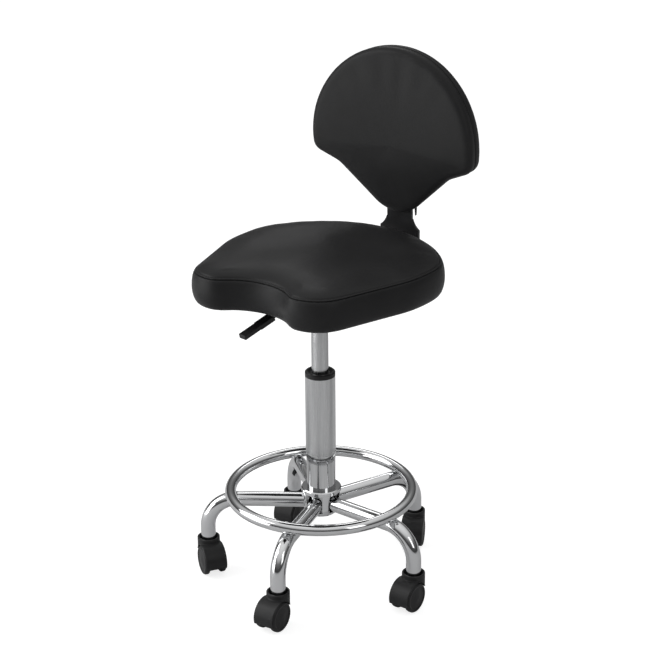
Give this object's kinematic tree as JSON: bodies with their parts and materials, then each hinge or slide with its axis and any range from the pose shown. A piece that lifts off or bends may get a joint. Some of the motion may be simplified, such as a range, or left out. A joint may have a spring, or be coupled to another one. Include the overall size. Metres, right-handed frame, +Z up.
{
  "type": "rolling stylist stool",
  "caption": "Gas-lift salon stool with a saddle-nosed seat, a rounded height-adjusting backrest, a release lever, a chrome foot ring and a five-leg base on hooded twin-wheel casters.",
  "frame": {"origin": "on the floor, under the column's axis", "axes": "+Z up along the column, -Y the way the seated person faces, +X the seated person's left"},
  "size_m": [0.4012, 0.4897, 0.8627],
  "materials": {
    "chrome": "polished chrome plate",
    "bright_steel": "zinc plated",
    "black_steel": "satin black powder coat",
    "black_plastic": "moulded, fine satin",
    "caster_plastic": "moulded nylon, fine texture",
    "wheel_nylon": "hard nylon, satin",
    "plywood": "raw birch plywood",
    "black_vinyl": "fine-grained black leatherette"
  },
  "bodies": {
    "base": {"base_hub": "chrome", "leg_1": "chrome", "leg_2": "chrome", "leg_3": "chrome", "leg_4": "chrome", "leg_5": "chrome", "foot_ring": "chrome", "leg_end_sockets": "black_plastic", "caster_stems": "bright_steel", "lift_outer_tube": "chrome", "lift_guide_bush": "black_plastic", "lift_thrust_bearing": "bright_steel"},
    "lift_rod": {"lift_piston_rod": "bright_steel", "lift_piston": "bright_steel", "lift_retaining_clip": "bright_steel"},
    "seat": {"lift_pressure_cylinder": "chrome", "taper_socket": "black_steel", "seat_mechanism_pan": "black_steel", "lever_bracket": "black_steel", "mechanism_bolts": "bright_steel", "lever_pivot_pin": "bright_steel", "seat_board": "plywood", "seat_cushion": "black_vinyl", "back_bar": "black_steel", "back_bar_bolts": "bright_steel"},
    "lever": {"lever_arm": "black_steel", "lever_grip": "black_plastic"},
    "release_pin": {"lift_release_pin": "bright_steel"},
    "backrest": {"back_board": "plywood", "back_cushion": "black_vinyl", "back_cover": "black_vinyl", "height_lock_housing": "black_plastic", "height_lock_screws": "bright_steel"},
    "caster_1": {"caster_hood_1": "caster_plastic", "caster_axle_1": "bright_steel"},
    "left_wheel_1": {"left_wheel_1": "wheel_nylon"},
    "right_wheel_1": {"right_wheel_1": "wheel_nylon"},
    "caster_2": {"caster_hood_2": "caster_plastic", "caster_axle_2": "bright_steel"},
    "left_wheel_2": {"left_wheel_2": "wheel_nylon"},
    "right_wheel_2": {"right_wheel_2": "wheel_nylon"},
    "caster_3": {"caster_hood_3": "caster_plastic", "caster_axle_3": "bright_steel"},
    "left_wheel_3": {"left_wheel_3": "wheel_nylon"},
    "right_wheel_3": {"right_wheel_3": "wheel_nylon"},
    "caster_4": {"caster_hood_4": "caster_plastic", "caster_axle_4": "bright_steel"},
    "left_wheel_4": {"left_wheel_4": "wheel_nylon"},
    "right_wheel_4": {"right_wheel_4": "wheel_nylon"},
    "caster_5": {"caster_hood_5": "caster_plastic", "caster_axle_5": "bright_steel"},
    "left_wheel_5": {"left_wheel_5": "wheel_nylon"},
    "right_wheel_5": {"right_wheel_5": "wheel_nylon"}
  },
  "joints": [
    {"name": "seat_swivel", "type": "hinge", "parent": "base", "child": "lift_rod", "pos_m": [0, 0, 0.13], "axis": [0, 0, 1], "continuous": true},
    {"name": "seat_height", "type": "slide", "parent": "lift_rod", "child": "seat", "axis": [0, 0, 1], "range_m": [-0.09, 0.025]},
    {"name": "lever_pull", "type": "hinge", "parent": "seat", "child": "lever", "pos_m": [-0.00572, -0.02945, 0.4961], "axis": [-0.9816, 0.1908, 0], "range_deg": [0, 7.66], "stiffness_Nm_per_rad": 1.2, "springref_deg": -14.32},
    {"name": "release_pin_press", "type": "slide", "parent": "seat", "child": "release_pin", "axis": [0, 0, -1], "range_m": [0, 0.00436]},
    {"name": "backrest_height", "type": "slide", "parent": "seat", "child": "backrest", "axis": [0, -0.0349, 0.9994], "range_m": [0, 0.06]},
    {"name": "caster_1_swivel", "type": "hinge", "parent": "base", "child": "caster_1", "pos_m": [0.04832, -0.18685, 0.05], "axis": [0, 0, 1], "continuous": true},
    {"name": "left_wheel_1_roll", "type": "hinge", "parent": "caster_1", "child": "left_wheel_1", "pos_m": [0.04888, -0.20284, 0.025], "axis": [0.9994, 0.0349, 0], "continuous": true},
    {"name": "right_wheel_1_roll", "type": "hinge", "parent": "caster_1", "child": "right_wheel_1", "pos_m": [0.04888, -0.20284, 0.025], "axis": [0.9994, 0.0349, 0], "continuous": true},
    {"name": "caster_2_swivel", "type": "hinge", "parent": "base", "child": "caster_2", "pos_m": [0.19264, -0.01178, 0.05], "axis": [0, 0, 1], "continuous": true},
    {"name": "left_wheel_2_roll", "type": "hinge", "parent": "caster_2", "child": "left_wheel_2", "pos_m": [0.19208, -0.02777, 0.025], "axis": [0.9994, -0.0349, 0], "continuous": true},
    {"name": "right_wheel_2_roll", "type": "hinge", "parent": "caster_2", "child": "right_wheel_2", "pos_m": [0.19208, -0.02777, 0.025], "axis": [0.9994, -0.0349, 0], "continuous": true},
    {"name": "caster_3_swivel", "type": "hinge", "parent": "base", "child": "caster_3", "pos_m": [0.07074, 0.17957, 0.05], "axis": [0, 0, 1], "continuous": true},
    {"name": "left_wheel_3_roll", "type": "hinge", "parent": "caster_3", "child": "left_wheel_3", "pos_m": [0.0775, 0.16507, 0.025], "axis": [0.9063, 0.4226, 0], "continuous": true},
    {"name": "right_wheel_3_roll", "type": "hinge", "parent": "caster_3", "child": "right_wheel_3", "pos_m": [0.0775, 0.16507, 0.025], "axis": [0.9063, 0.4226, 0], "continuous": true},
    {"name": "caster_4_swivel", "type": "hinge", "parent": "base", "child": "caster_4", "pos_m": [-0.14892, 0.12276, 0.05], "axis": [0, 0, 1], "continuous": true},
    {"name": "left_wheel_4_roll", "type": "hinge", "parent": "caster_4", "child": "left_wheel_4", "pos_m": [-0.14725, 0.10685, 0.025], "axis": [0.9945, 0.1045, 0], "continuous": true},
    {"name": "right_wheel_4_roll", "type": "hinge", "parent": "caster_4", "child": "right_wheel_4", "pos_m": [-0.14725, 0.10685, 0.025], "axis": [0.9945, 0.1045, 0], "continuous": true},
    {"name": "caster_5_swivel", "type": "hinge", "parent": "base", "child": "caster_5", "pos_m": [-0.16278, -0.1037, 0.05], "axis": [0, 0, 1], "continuous": true},
    {"name": "left_wheel_5_roll", "type": "hinge", "parent": "caster_5", "child": "left_wheel_5", "pos_m": [-0.14936, -0.11241, 0.025], "axis": [0.5446, 0.8387, 0], "continuous": true},
    {"name": "right_wheel_5_roll", "type": "hinge", "parent": "caster_5", "child": "right_wheel_5", "pos_m": [-0.14936, -0.11241, 0.025], "axis": [0.5446, 0.8387, 0], "continuous": true}
  ],
  "couplings": [
    {"joint": "release_pin_press", "follows": "lever_pull", "m_per_rad": 0.0312}
  ]
}
